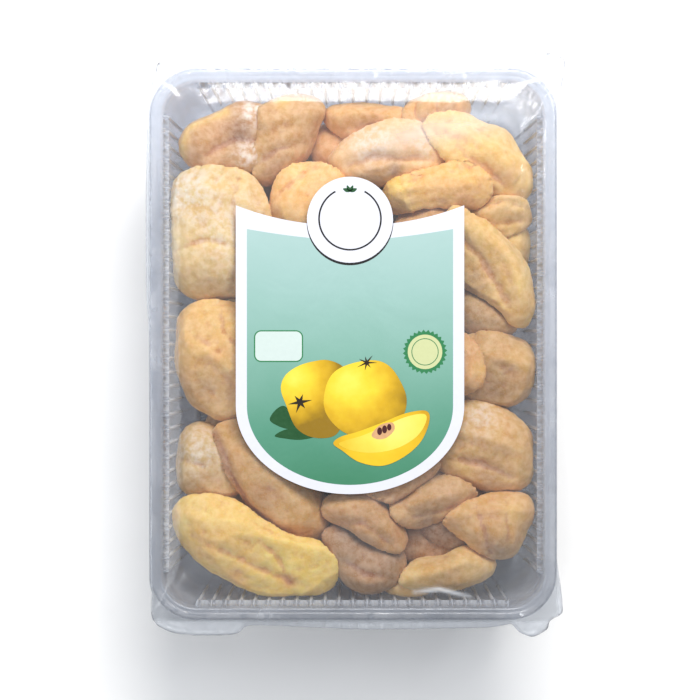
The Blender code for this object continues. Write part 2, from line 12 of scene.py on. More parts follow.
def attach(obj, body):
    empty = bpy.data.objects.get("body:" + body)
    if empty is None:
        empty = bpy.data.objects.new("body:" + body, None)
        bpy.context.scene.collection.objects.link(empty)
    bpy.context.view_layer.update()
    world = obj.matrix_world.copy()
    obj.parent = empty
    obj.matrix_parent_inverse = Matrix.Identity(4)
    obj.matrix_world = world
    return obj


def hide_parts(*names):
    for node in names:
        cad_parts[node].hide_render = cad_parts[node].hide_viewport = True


MM = 0.001
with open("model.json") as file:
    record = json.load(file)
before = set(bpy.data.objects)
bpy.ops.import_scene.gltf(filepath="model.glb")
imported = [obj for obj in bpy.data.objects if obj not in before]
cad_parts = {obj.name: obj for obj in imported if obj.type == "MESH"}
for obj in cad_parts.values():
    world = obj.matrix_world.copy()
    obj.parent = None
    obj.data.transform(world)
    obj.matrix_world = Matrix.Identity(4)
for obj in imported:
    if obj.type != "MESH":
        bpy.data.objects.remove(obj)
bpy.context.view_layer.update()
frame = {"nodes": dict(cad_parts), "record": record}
scene = bpy.context.scene


# ---------------------------------------------------------------- node helpers


def material(name):
    made = bpy.data.materials.new(name)
    made.use_nodes = True
    made.node_tree.nodes.clear()
    return made, made.node_tree


def node(tree, kind, inputs=None, **properties):
    """A new node. inputs maps socket names or numbers to values, or to the sockets that feed them."""
    made = tree.nodes.new(kind)
    for key, value in properties.items():
        setattr(made, key, value)
    for key, value in (inputs or {}).items():
        if isinstance(value, bpy.types.NodeSocket):
            tree.links.new(value, made.inputs[key])
        else:
            made.inputs[key].default_value = value
    return made


def object_coords(tree):
    return node(tree, "ShaderNodeTexCoord").outputs["Object"]


def noise_of(tree, coords, scale, detail=3.0, roughness=0.55, distortion=0.0):
    inputs = {"Vector": coords, "Scale": scale, "Detail": detail}
    inputs |= {"Roughness": roughness, "Distortion": distortion}
    return node(tree, "ShaderNodeTexNoise", inputs).outputs["Fac"]


def ramp(tree, factor, stops):
    """A colour ramp. stops are (position, colour or grey)."""
    made = node(tree, "ShaderNodeValToRGB", {"Fac": factor})
    elements = made.color_ramp.elements
    while len(elements) < len(stops):
        elements.new(0.5)
    for element, (place, colour) in zip(elements, stops):
        element.position = place
        element.color = (colour, colour, colour, 1) if isinstance(colour, (int, float)) else (*colour, 1)
    return made.outputs["Color"]


def mixed(tree, factor, first, second, blend="MIX"):
    """A colour mix of two colours or sockets."""
    made = node(tree, "ShaderNodeMix", data_type="RGBA", blend_type=blend)
    for index, value in ((0, factor), (6, first), (7, second)):
        if isinstance(value, bpy.types.NodeSocket):
            tree.links.new(value, made.inputs[index])
        elif index:
            made.inputs[index].default_value = (*value, 1)
        else:
            made.inputs[index].default_value = value
    return made.outputs[2]


def math_of(tree, operation, first, second=0.0, clamp=False):
    made = node(tree, "ShaderNodeMath", {0: first, 1: second}, operation=operation, use_clamp=clamp)
    return made.outputs[0]


def attribute(tree, name, output="Fac"):
    return node(tree, "ShaderNodeAttribute", attribute_name=name).outputs[output]


def finish_material(tree, shader):
    node(tree, "ShaderNodeOutputMaterial", {"Surface": shader})


def srgb(code):
    """A linear colour from a six-digit sRGB code."""
    values = [int(code[i:i + 2], 16) / 255 for i in (0, 2, 4)]
    return tuple(v / 12.92 if v <= 0.04045 else ((v + 0.055) / 1.055) ** 2.4 for v in values)


# ---------------------------------------------------------------- mesh helpers


def add_piece(name, mesh, look, slot, *nodes):
    """A visible piece that rides on the part and stands for its CAD nodes."""
    obj = bpy.data.objects.new(name, mesh)
    scene.collection.objects.link(obj)
    mesh.materials.clear()
    mesh.materials.append(look)
    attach(obj, "root")
    if nodes:
        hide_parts(*nodes)
    return obj


def mesh_of(name, verts, faces, smooth=True):
    """A mesh from points in millimetres."""
    mesh = bpy.data.meshes.new(name)
    mesh.from_pydata((np.asarray(verts, float) * MM).tolist(), [], faces)
    mesh.validate()
    if smooth:
        mesh.shade_smooth()
    return mesh


def ring_faces(rings, count, start=0):
    """Quads that join equal rings of points in turn."""
    faces = []
    for i in range(rings - 1):
        a = start + i * count
        b = a + count
        for k in range(count):
            n = (k + 1) % count
            faces.append((a + k, a + n, b + n, b + k))
    return faces


def thickened(obj, thickness, offset):
    solid = obj.modifiers.new("thickness", "SOLIDIFY")
    solid.thickness = thickness * MM
    solid.offset = offset
    return obj


def bell(distance, width):
    return np.exp(-((distance / width) ** 2))


def spline_point(a, b, c, d, t):
    """A point between b and c on a smooth curve through four points."""
    bent = (2 * a - 5 * b + 4 * c - d) * t**2
    return 0.5 * ((2 * b) + (c - a) * t + bent + (3 * b - a - 3 * c + d) * t**3)


def line_distance(points, line):
    """Distance in plan from each point to a broken line, and the share of the line passed there."""
    best = np.full(len(points), 1e9)
    along = np.zeros(len(points))
    steps = len(line) - 1
    for i in range(steps):
        a = np.array(line[i], float)
        b = np.array(line[i + 1], float)
        d = b - a
        t = np.clip(((points[:, :2] - a) @ d) / max(d @ d, 1e-9), 0, 1)
        gap = np.linalg.norm(points[:, :2] - a - t[:, None] * d, axis=1)
        closer = gap < best
        best = np.where(closer, gap, best)
        along = np.where(closer, (i + t) / steps, along)
    return best, along


# ---------------------------------------------------------------- camera, light and floor


def put_light(name, place, aim, size, power, colour=(1, 1, 1)):
    light = bpy.data.lights.new(name, "AREA")
    light.shape = "RECTANGLE"
    light.size, light.size_y = size
    light.energy = power
    light.color = colour
    obj = bpy.data.objects.new(name, light)
    obj.location = place
    obj.rotation_mode = "QUATERNION"
    obj.rotation_quaternion = (Vector(aim) - Vector(place)).to_track_quat("-Z", "Y")
    scene.collection.objects.link(obj)
    return obj


def make_studio():
    camera = bpy.data.objects.new("camera", bpy.data.cameras.new("camera"))
    scene.collection.objects.link(camera)
    camera.location = (-0.001, -0.0019, 0.699)
    camera.data.lens = 103.1
    camera.data.sensor_width = 36
    camera.data.clip_start = 0.01
    scene.view_settings.view_transform = "Standard"
    scene.camera = camera
    world = bpy.data.worlds.new("studio")
    scene.world = world
    world.use_nodes = True
    background = world.node_tree.nodes["Background"]
    background.inputs["Color"].default_value = (0.93, 0.96, 1.0, 1)
    background.inputs["Strength"].default_value = 0.42
    put_light("key", (0.12, 0.55, 0.62), (0, 0, 0.03), (0.5, 0.35), 7.2, (1.0, 0.98, 0.95))
    put_light("side", (-0.6, -0.1, 0.5), (0, 0, 0.03), (0.4, 0.5), 2.0, (0.95, 0.97, 1.0))
    put_light("strip", (0.45, 0.3, 0.75), (0, 0, 0.04), (0.08, 0.5), 1.5)
    look, tree = material("floor_paint")
    grain = noise_of(tree, object_coords(tree), 30, 4)
    colour = ramp(tree, grain, [(0.3, (0.94, 0.94, 0.94)), (0.7, (0.97, 0.97, 0.97))])
    shader = node(tree, "ShaderNodeBsdfPrincipled", {"Base Color": colour, "Roughness": 0.8})
    finish_material(tree, shader.outputs[0])
    bpy.ops.mesh.primitive_plane_add(size=6, location=(0, 0, -0.0002))
    floor = bpy.context.object
    floor.name = "floor"
    floor.data.materials.append(look)


# ---------------------------------------------------------------- fruit


def flesh_material():
    look, tree = material("dried_quince_flesh")
    coords = object_coords(tree)
    tone = mixed(tree, 1.0, attribute(tree, "tone", "Color"), (1.27, 1.15, 0.66), "MULTIPLY")
    frost = attribute(tree, "frost")
    cavity_shade = attribute(tree, "cavity_shade")
    broad = noise_of(tree, coords, 150, 4, 0.6, 0.4)
    mottle = noise_of(tree, coords, 420, 4, 0.6)
    grains = noise_of(tree, coords, 2400, 2, 0.6)
    warm = mixed(tree, 1.0, tone, (0.98, 0.83, 0.60), "MULTIPLY")
    colour = mixed(tree, ramp(tree, broad, [(0.35, 0.0), (0.68, 1.0)]), tone, warm)
    light = mixed(tree, 1.0, colour, (1.16, 1.14, 1.10), "MULTIPLY")
    colour = mixed(tree, ramp(tree, mottle, [(0.40, 0.0), (0.65, 1.0)]), colour, light)
    # Hollows are painted darker and browner: painted shade where the slice curves in.
    hollow = mixed(tree, 1.0, colour, (0.78, 0.58, 0.38), "MULTIPLY")
    colour = mixed(tree, ramp(tree, cavity_shade, [(0.50, 0.0), (0.85, 1.0)]), colour, hollow)
    dust = math_of(tree, "MULTIPLY", frost, ramp(tree, mottle, [(0.36, 0.15), (0.62, 1.0)]))
    speck = ramp(tree, grains, [(0.52, 0.0), (0.68, 0.26)])
    dust = math_of(tree, "MAXIMUM", dust, math_of(tree, "MULTIPLY", speck, 0.9), True)
    colour = mixed(tree, dust, colour, (0.90, 0.80, 0.68))
    coarse = math_of(tree, "MULTIPLY", mottle, 0.8)
    height = math_of(tree, "ADD", coarse, math_of(tree, "MULTIPLY", grains, 0.35))
    bump = node(tree, "ShaderNodeBump", {"Height": height, "Strength": 0.7, "Distance": 0.0004})
    rough = ramp(tree, mottle, [(0.3, 0.5), (0.7, 0.72)])
    inputs = {
        "Base Color": colour,
        "Roughness": rough,
        "Normal": bump.outputs[0],
        "Subsurface Weight": 0.2,
        "Subsurface Radius": (1.0, 0.5, 0.2),
        "Subsurface Scale": 0.003,
        "Specular IOR Level": 0.35,
        "Sheen Weight": 0.12,
        "Sheen Roughness": 0.6,
    }
    finish_material(tree, node(tree, "ShaderNodeBsdfPrincipled", inputs).outputs[0])
    return look


def smooth_copy(name, voxel, rounds):
    """The CAD slice as an even, rounded mesh."""
    mesh = frame["nodes"][name].data.copy()
    bm = bmesh.new()
    bm.from_mesh(mesh)
    bmesh.ops.remove_doubles(bm, verts=bm.verts, dist=1e-5)
    bm.to_mesh(mesh)
    bm.free()
    obj = bpy.data.objects.new("working_copy", mesh)
    scene.collection.objects.link(obj)
    curve = obj.modifiers.new("curve", "SUBSURF")
    curve.levels = curve.render_levels = 1
    even = obj.modifiers.new("even", "REMESH")
    even.mode = "VOXEL"
    even.voxel_size = voxel * MM
    relax = obj.modifiers.new("relax", "SMOOTH")
    relax.factor = 0.5
    relax.iterations = rounds
    graph = bpy.context.evaluated_depsgraph_get()
    made = bpy.data.meshes.new_from_object(obj.evaluated_get(graph))
    bpy.data.objects.remove(obj)
    return made


def coordinates(mesh):
    co = np.zeros(len(mesh.vertices) * 3)
    mesh.vertices.foreach_get("co", co)
    return co.reshape(-1, 3) / MM


def normals(mesh):
    no = np.zeros(len(mesh.vertices) * 3, np.float32)
    mesh.vertex_normals.foreach_get("vector", no)
    return no.reshape(-1, 3).astype(float)


def set_coordinates(mesh, co):
    mesh.vertices.foreach_set("co", (co * MM).astype(np.float32).ravel())
    mesh.update()


def edge_pairs(mesh):
    pairs = np.zeros(len(mesh.edges) * 2, int)
    mesh.edges.foreach_get("vertices", pairs)
    return pairs.reshape(-1, 2)


def averaged(values, pairs, rounds):
    """Values smoothed over the mesh's edges."""
    count = np.bincount(pairs.ravel(), minlength=len(values)).astype(float)
    for _ in range(rounds):
        total = np.zeros_like(values)
        np.add.at(total, pairs[:, 0], values[pairs[:, 1]])
        np.add.at(total, pairs[:, 1], values[pairs[:, 0]])
        values = 0.5 * values + 0.5 * total / count[:, None]
    return values


def roughen(co, no, seed, amount):
    """Pushes each point along its normal: broad dents, folds and granules, as on dried fruit."""
    shift = Vector((seed * 3.7, seed * 1.9, seed * 2.3))
    out = np.empty(len(co))
    for i, (x, y, z) in enumerate(co):
        p = Vector((x, y, z))
        broad = noise.noise(p * 0.09 + shift)
        fold = noise.ridged_multi_fractal(p * 0.13 + shift, 0.9, 2.1, 3, 0.9, 1.6) - 1.2
        grain = noise.fractal(p * 0.55 + shift, 0.8, 2.0, 3)
        out[i] = 0.95 * broad + 0.42 * fold + 0.16 * grain
    return co + no * (out * amount)[:, None]


# In millimetres: the film's inside, the slices' highest place, how far they are swollen to meet each other,
# how rough they are, and how fine the meshes of the visible and the hidden ones are.
FILM_INSIDE = 48.8
SLICE_TOP = 48.7
SWELLING = 1.1
ROUGHNESS = 0.9
FINE_VOXEL = 0.75
COARSE_VOXEL = 1.3

TONES = {
    "pale": "CDB58C",
    "yellow": "EAC86F",
    "golden": "C99C5E",
    "amber": "B98A50",
    "tan": "A87F52",
    "brown": "7E5838",
}

# The colour of each slice that shows.
TINTS = {
    "amber_slice_top": "CFA062",
    "block_slice_left": "D4AC70",
    "block_slice_right": "B7925E",
    "block_slice_upper_left": "D2BB98",
    "broad_slice_top_left": "BA9262",
    "cored_slice_bottom": "9C734C",
    "cored_slice_top_left": "B6895C",
    "crescent_bottom_right": "CFAE7A",
    "crescent_by_badge": "D9AF6E",
    "half_moon_right": "CCAC72",
    "knobbly_slice_top": "C6985E",
    "lid_slice_bottom": "B88C5C",
    "long_slice_top_right": "DEBE8A",
    "low_slice_beside_date": "C19770",
    "low_slice_bottom_edge": "D6B694",
    "low_slice_lower_middle": "966B44",
    "low_slice_lower_right": "92673E",
    "low_slice_right_edge": "CDAE72",
    "low_slice_right_middle": "A58358",
    "pale_slice_right": "C8A878",
    "pink_slice_top": "D8B596",
    "round_slice_by_badge": "DDB279",
    "shell_slice_bottom_right": "C69C62",
    "slab_slice_lower_right": "C69F64",
    "slice_below_label": "B99266",
    "slice_lower_left_edge": "C2A57C",
    "slice_under_shoulder": "C49A62",
    "thin_slice_right": "C2945C",
    "wedge_slice_lower_left": "C59C62",
    "yellow_crescent": "EACB7A",
}

# What is worked into each slice, in plan, in millimetres.
# crease and ridge: a line, its width and its depth or height. face: a cut face, by a point on it, how
# far that is below the film, and its slopes across and along. paint: place, radius, colour, strength.
# frost: place, radius, strength. streak: a line, its width, colour and strength.
WORK = {
    "yellow_crescent": (
        ("face", (-36, -60), 0.6, (-0.02, 0.28)),
        ("face", (-30, -63), 0.3, (0.04, 0.42)),
        ("ridge", [(-58, -55), (-46, -58), (-36, -60), (-26, -64), (-12, -68)], 1.8, 0.9),
        ("crease", [(-52, -63), (-40, -68), (-28, -74), (-16, -79)], 1.5, 1.0),
        ("crease", [(-30, -64), (-24, -70), (-21, -78)], 1.2, 0.8),
        ("paint", (-18, -72), 9, "F8DF80", 0.8),
        ("paint", (-49, -67), 8, "D2A45C", 0.6),
        ("paint", (-52, -54), 6, "E6C890", 0.5),
        ("paint", (-20.8, -77), 2.4, "B8692F", 0.7),
        ("paint", (-38, -76), 4, "C98F4C", 0.5),
    ),
    "block_slice_upper_left": (
        ("crease", [(-37, 58), (-39, 46), (-37, 32), (-40, 16)], 1.6, 1.1),
        ("crease", [(-60, 30), (-48, 34), (-30, 30)], 1.3, 0.8),
        ("ridge", [(-56, 52), (-44, 50), (-32, 44)], 2.2, 0.8),
        ("frost", (-54, 50), 8, 0.7),
        ("frost", (-40, 38), 12, 0.4),
        ("paint", (-46, 19), 7, "B28D5F", 0.6),
        ("paint", (-31, 34), 6, "C29A68", 0.5),
    ),
    "block_slice_left": (
        ("face", (-46, -3), 2.4, (0.05, 0.30)),
        ("face", (-46, -3), 2.4, (0.12, -0.22)),
        ("ridge", [(-56, 2), (-48, -2), (-38, -10), (-34, -18)], 1.8, 0.9),
        ("paint", (-46, 8), 8, "DDBB86", 0.6),
        ("paint", (-50, -15), 7, "9A7242", 0.6),
        ("crease", [(-44, 13), (-42, 4), (-36, -3)], 1.3, 0.8),
    ),
    "wedge_slice_lower_left": (
        ("crease", [(-45, -29.5), (-40, -41), (-34, -53), (-23, -60.5), (-12, -62)], 1.5, 1.6),
        # A dark reddish streak along the crease: painted shade in the groove.
        ("streak", [(-45, -29.5), (-40, -41), (-34, -53), (-23, -60.5)], 1.5, "8A4628", 0.7),
        ("ridge", [(-38, -29), (-28, -42), (-15, -54)], 2.4, 1.0),
        ("paint", (-30, -50), 5, "8C6238", 0.5),
    ),
    "slice_lower_left_edge": (
        ("crease", [(-57, -37), (-49, -40), (-41, -48)], 1.4, 1.2),
        ("face", (-50, -40), 6.0, (-0.35, 0.1)),
        ("frost", (-50, -35), 7, 0.5),
        ("paint", (-52, -46), 4, "8E6A44", 0.5),
    ),
    "cored_slice_top_left": (
        ("streak", [(-56, 62), (-54, 70), (-48, 74), (-42, 76)], 1.8, "E6C670", 0.7),
        ("crease", [(-52, 59), (-45, 64), (-38, 67), (-30, 66)], 1.8, 1.4),
        ("frost", (-33, 76), 4, 0.9),
        ("frost", (-35, 62), 4, 0.7),
        ("paint", (-37, 68.6), 4.5, "6E4128", 0.7),
    ),
    "broad_slice_top_left": (
        ("face", (-22, 70), 4.2, (0.22, 0.10)),
        ("ridge", [(-31, 72), (-22, 74), (-12, 76)], 2.0, 1.2),
        ("crease", [(-31, 60), (-24, 64), (-14, 67)], 1.5, 1.2),
        ("paint", (-23, 80), 3, "E2C064", 0.8),
        ("paint", (-26, 58), 5, "96683C", 0.5),
    ),
    "amber_slice_top": (
        ("ridge", [(-7, 75), (4, 76), (16, 74)], 2.0, 1.4),
        ("crease", [(-4, 71), (6, 72), (16, 71)], 1.3, 1.0),
        ("paint", (5, 70), 6, "9A6C38", 0.6),
    ),
    "pink_slice_top": (
        ("crease", [(-4, 58), (6, 61), (20, 61), (29, 60)], 1.6, 1.4),
        ("face", (12, 66), 1.9, (0.0, -0.22)),
        ("paint", (13.6, 57), 3, "6A3F2A", 0.8),
        ("paint", (6, 56), 5, "BC8A62", 0.5),
        ("frost", (6, 66), 6, 0.5),
        ("frost", (24, 66), 5, 0.4),
    ),
    "knobbly_slice_top": (
        ("crease", [(20, 73), (23, 82)], 1.1, 1.5),
        ("crease", [(27, 73), (28, 83)], 1.1, 1.4),
        ("crease", [(33, 74), (33, 83)], 1.1, 1.3),
        ("paint", (30, 76), 4, "A4733F", 0.5),
    ),
    "long_slice_top_right": (
        ("face", (42, 63), 1.9, (0.10, 0.24)),
        ("ridge", [(25, 72), (37, 69), (47, 62), (55, 52)], 1.8, 1.2),
        ("crease", [(32, 65), (43, 58), (53, 49)], 1.4, 1.1),
        ("paint", (48, 54), 5, "C29250", 0.6),
        ("paint", (33, 72), 5, "EBD0A2", 0.6),
    ),
    "round_slice_by_badge": (
        ("crease", [(-26, 46), (-20, 52), (-12, 58)], 1.5, 1.3),
        ("paint", (-18, 56), 4, "ECC791", 0.5),
        ("paint", (-26, 44), 3, "9C6E40", 0.6),
    ),
    "crescent_by_badge": (
        ("face", (28, 52), 0.5, (0.0, 0.45)),
        ("face", (28, 52), 0.5, (0.02, -0.45)),
        ("ridge", [(11, 49), (20, 51), (30, 53), (42, 52)], 1.3, 0.8),
        ("paint", (14, 52), 4, "F5D070", 0.9),
        ("paint", (36, 47), 5, "B98746", 0.6),
    ),
    "slice_under_shoulder": (
        ("crease", [(18, 42), (26, 44), (34, 41)], 1.3, 1.0),
        ("paint", (26, 42), 5, "8E6436", 0.5),
    ),
    "pale_slice_right": (
        ("ridge", [(40, 43), (49, 45), (57, 43)], 1.6, 1.3),
        ("crease", [(42, 40), (50, 40), (56, 41)], 1.2, 1.0),
    ),
    "half_moon_right": (
        ("face", (47, 32), 0.9, (0.26, 0.20)),
        ("ridge", [(36, 41), (45, 36), (52, 27), (55, 14), (55, 8)], 1.8, 1.0),
        ("crease", [(34, 36), (41, 29), (47, 20), (52, 11)], 1.5, 1.3),
        ("paint", (41, 23), 6, "A67C46", 0.6),
        ("paint", (54, 20), 4, "DFC694", 0.6),
    ),
    "block_slice_right": (
        ("face", (48, -5), 3.3, (0.05, 0.35)),
        ("face", (48, -5), 3.3, (0.12, -0.25)),
        ("ridge", [(36, -1), (46, -4), (58, -8)], 1.7, 0.9),
        ("paint", (46, -15), 6, "86602F", 0.6),
        ("paint", (54, -4), 4, "D3B07A", 0.5),
    ),
    "thin_slice_right": (
        ("ridge", [(34, 2), (38, -4), (39, -13)], 1.4, 0.8),
        ("paint", (41, -8), 2.5, "DDB67A", 0.6),
    ),
    "slab_slice_lower_right": (
        ("face", (42, -30), 2.6, (0.02, 0.26)),
        ("ridge", [(29, -28), (42, -30), (57, -35)], 1.8, 0.9),
        ("crease", [(30, -37), (42, -39), (55, -44)], 1.4, 1.2),
        ("paint", (45, -44), 5, "9C7340", 0.6),
        ("frost", (42, -24), 6, 0.4),
    ),
    "shell_slice_bottom_right": (
        ("ridge", [(31, -57), (42, -54), (56, -54)], 1.8, 1.0),
        ("crease", [(40, -54), (43, -61), (46, -69)], 1.3, 1.2),
        ("crease", [(50, -53), (50, -61), (50, -69)], 1.2, 1.0),
        ("paint", (46, -66), 4.5, "8A6234", 0.7),
        ("paint", (52, -54), 4, "DAB67A", 0.6),
    ),
    "crescent_bottom_right": (
        ("ridge", [(16, -77), (27, -74), (37, -71), (45, -73)], 1.5, 1.4),
        ("paint", (30, -78), 5, "A67C4A", 0.6),
    ),
    "lid_slice_bottom": (
        ("ridge", [(-9, -53), (2, -53), (10, -58), (15, -66)], 1.6, 1.2),
        ("crease", [(-7, -57), (4, -58), (12, -65)], 1.3, 1.2),
        ("paint", (0, -51), 4, "C39A68", 0.6),
    ),
    "cored_slice_bottom": (
        ("crease", [(-3, -61), (5, -64), (14, -68)], 2.4, 2.6),
        # A near-black streak along the deep crease: painted shade in the crease.
        ("streak", [(-3, -61), (5, -64), (14, -68)], 2.6, "3E2416", 0.85),
        ("crease", [(-4, -70), (4, -75), (12, -76)], 1.3, 1.2),
        ("paint", (4, -77), 4, "A67C52", 0.5),
    ),
    "slice_below_label": (
        ("ridge", [(15, -54), (25, -50), (38, -47)], 1.6, 1.2),
        ("crease", [(18, -57), (28, -54), (38, -50)], 1.2, 1.2),
        ("paint", (24, -57), 4, "7A5532", 0.6),
    ),
}


def make_slices():
    look = flesh_material()
    slots = {part["node"]: part["material_slot"] for part in frame["record"]["subparts"]}
    names = [n for n in sorted(slots) if slots[n].startswith("flesh_")]
    for seed, name in enumerate(names):
        hidden = name.startswith(("floor_", "label_"))
        mesh = smooth_copy(name, COARSE_VOXEL if hidden else FINE_VOXEL, 2)
        tone = srgb(TINTS.get(name) or TONES[slots[name].removeprefix("flesh_")])
        co = coordinates(mesh)
        no = normals(mesh)
        pairs = edge_pairs(mesh)
        colours = np.tile(np.array([*tone, 1.0]), (len(co), 1))
        frost = np.full(len(co), 0.25)
        for work in WORK.get(name, ()):
            co, colours, frost = worked(work, co, no, colours, frost)
        co = roughen(co + no * SWELLING, no, seed, ROUGHNESS)
        co[:, 2] = np.clip(co[:, 2], WELL_FLOOR + 0.2, SLICE_TOP)
        lean = TAPER * (FLANGE_TOP - co[:, 2]) / (FLANGE_TOP - WELL_FLOOR)
        room = RIM - FLUTE_DEPTH - 0.2 - np.clip(lean, 0, TAPER)[:, None]
        co[:, :2] = np.clip(co[:, :2], -room, room)
        set_coordinates(mesh, co)
        no = normals(mesh)
        # How far each point lies in a hollow: the mask for the shade painted into the hollows.
        hollow = ((averaged(co, pairs, 12) - co) * no).sum(axis=1)
        cavity_shade = np.clip(0.5 + hollow * 1.6, 0, 1)
        tone_layer = mesh.color_attributes.new("tone", "FLOAT_COLOR", "POINT")
        tone_layer.data.foreach_set("color", colours.astype(np.float32).ravel())
        for key, values in (("frost", frost), ("cavity_shade", cavity_shade)):
            layer = mesh.attributes.new(key, "FLOAT", "POINT")
            layer.data.foreach_set("value", np.clip(values, 0, 1).astype(np.float32))
        mesh.shade_smooth()
        mesh.name = name + "_fruit"
        add_piece(name + "_fruit", mesh, look, slots[name], name)


def worked(work, co, no, colours, frost):
    """One listed piece of work on a slice's points and colours."""
    kind = work[0]
    up = np.clip(no[:, 2] * 1.6 + 0.2, 0, 1)
    if kind in ("crease", "ridge"):
        _, line, width, height = work
        gap, along = line_distance(co, line)
        fade = np.sin(np.clip(along, 0.03, 0.97) * math.pi) ** 0.5
        sign = -1 if kind == "crease" else 1
        co = co.copy()
        co[:, 2] += sign * height * bell(gap, width) * fade * up
    elif kind == "paint":
        _, place, radius, colour, strength = work
        share = strength * bell(np.linalg.norm(co[:, :2] - place, axis=1), radius) * up
        target = np.array([*srgb(colour), 1.0])
        colours = colours + (target - colours) * share[:, None]
    elif kind == "streak":
        _, line, width, colour, strength = work
        gap, _ = line_distance(co, line)
        share = strength * bell(gap, width) * up
        target = np.array([*srgb(colour), 1.0])
        colours = colours + (target - colours) * share[:, None]
    elif kind == "frost":
        _, place, radius, strength = work
        frost = frost + strength * bell(np.linalg.norm(co[:, :2] - place, axis=1), radius) * up
    elif kind == "face":
        _, place, drop, slope = work
        plane = FILM_INSIDE - drop + (co[:, :2] - place) @ np.array(slope)
        over = np.clip(co[:, 2] - plane, 0, 5) * np.clip(no[:, 2] * 3, 0, 1)
        co = co - np.outer(over, (0, 0, 1))
    return co, colours, frost


# ---------------------------------------------------------------- tray

FLANGE_TOP = 46.5
WELL_FLOOR = 1.1
RIM = np.array([62.4, 85.9])
FLUTE_DEPTH = 1.6
WELL_CORNER = 11.4
TAPER = 5.0
END_FLUTES = 22
SIDE_FLUTES = 32
PER_FLUTE = 12
CORNER_POINTS = 22
ARCH_FOOT = 41.4
ARCH_RISE = 2.2


def tray_plan():
    """Round the tray: each point's outward way, way along, share of its side, place across its flute from
    1 to -1, and turn round its corner, which is None on a straight side."""
    sides = (
        ((1, 0), (0, 1), SIDE_FLUTES),
        ((0, 1), (-1, 0), END_FLUTES),
        ((-1, 0), (0, -1), SIDE_FLUTES),
        ((0, -1), (1, 0), END_FLUTES),
    )
    rows = []
    for outward, along, flutes in sides:
        for flute in range(flutes):
            for k in range(PER_FLUTE):
                turn = math.pi * k / PER_FLUTE
                share = (flute + (1 - math.cos(turn)) / 2) / flutes
                rows.append((outward, along, share, math.cos(turn), None))
        for k in range(CORNER_POINTS):
            rows.append((outward, along, 1.0, 0.0, math.pi / 2 * k / CORNER_POINTS))
    return rows


def tray_ring(plan, half, corner, height, arch=None):
    """One ring of the tray. arch: how far the flutes' round tops have closed. None: no flutes."""
    ring = []
    for outward, along, share, across, turn in plan:
        reach = half[0] if outward[0] else half[1]
        run = (half[1] if outward[0] else half[0]) - corner
        if turn is None:
            depth = 0.0
            if arch is not None:
                depth = FLUTE_DEPTH * (math.sqrt(max(0.0, 1 - across**2 - arch**2)) - 1)
            out = reach + depth
            place = -run + 2 * run * share
        else:
            out = reach - corner + corner * math.cos(turn)
            place = run + corner * math.sin(turn)
        ring.append((out * outward[0] + place * along[0], out * outward[1] + place * along[1], height))
    return ring


def clear_plastic(name, tint_and_shade, gloss, haze_colour, haze_and_glints, streak):
    """Thin clear plastic. Light goes straight through, tinted a little, and its face mirrors by angle.

    tint_and_shade: the see-through colours at the low and high ends, the low end darker as painted shade.
    haze: how milky it
    is. streak: how strongly the mesh's own haze marks show; they hold painted glints and highlights, and
    milky film.
    """
    look, tree = material(name)
    coords = object_coords(tree)
    ripple = noise_of(tree, coords, 55, 3, 0.5, 0.8)
    fine = noise_of(tree, coords, 700, 3, 0.6)
    bump_height = math_of(tree, "ADD", ripple, math_of(tree, "MULTIPLY", fine, 0.04))
    bump = node(tree, "ShaderNodeBump", {"Height": bump_height, "Strength": 0.35, "Distance": 0.0012})
    # Darker towards the low end along y: painted shade over the plastic's slight tint.
    along = node(tree, "ShaderNodeSeparateXYZ", {0: coords}).outputs[1]
    shade_share = node(
        tree, "ShaderNodeMapRange", {"Value": along, "From Min": -0.095, "From Max": 0.095}
    ).outputs[0]
    colour = mixed(tree, shade_share, tint_and_shade[0], tint_and_shade[1])
    clear = node(tree, "ShaderNodeBsdfTransparent", {"Color": colour})
    smear = ramp(tree, fine, [(0.3, gloss), (0.8, gloss + 0.10)])
    mirror = node(
        tree, "ShaderNodeBsdfGlossy", {"Color": (1, 1, 1, 1), "Roughness": smear, "Normal": bump.outputs[0]}
    )
    # A thin sheet mirrors alike from both sides, so the share comes from the angle alone.
    angle = node(tree, "ShaderNodeLayerWeight", {"Blend": 0.5, "Normal": bump.outputs[0]})
    share = math_of(tree, "MULTIPLY", math_of(tree, "POWER", angle.outputs["Facing"], 5.0), 0.85)
    share = math_of(tree, "ADD", share, 0.05, True)
    body = node(tree, "ShaderNodeMixShader", {0: share, 1: clear.outputs[0], 2: mirror.outputs[0]})
    milk = node(tree, "ShaderNodeBsdfDiffuse", {"Color": (*haze_colour, 1)})
    amount = math_of(tree, "MULTIPLY", ramp(tree, ripple, [(0.35, 0.4), (0.7, 1.0)]), haze_and_glints)
    # The mesh's own marks: painted glints and highlights, and milky film, mixed in as white.
    mark = math_of(tree, "MULTIPLY", attribute(tree, "haze_and_glints"), streak)
    amount = math_of(tree, "ADD", amount, mark, True)
    body = node(tree, "ShaderNodeMixShader", {0: amount, 1: body.outputs[0], 2: milk.outputs[0]})
    finish_material(tree, body.outputs[0])
    return look


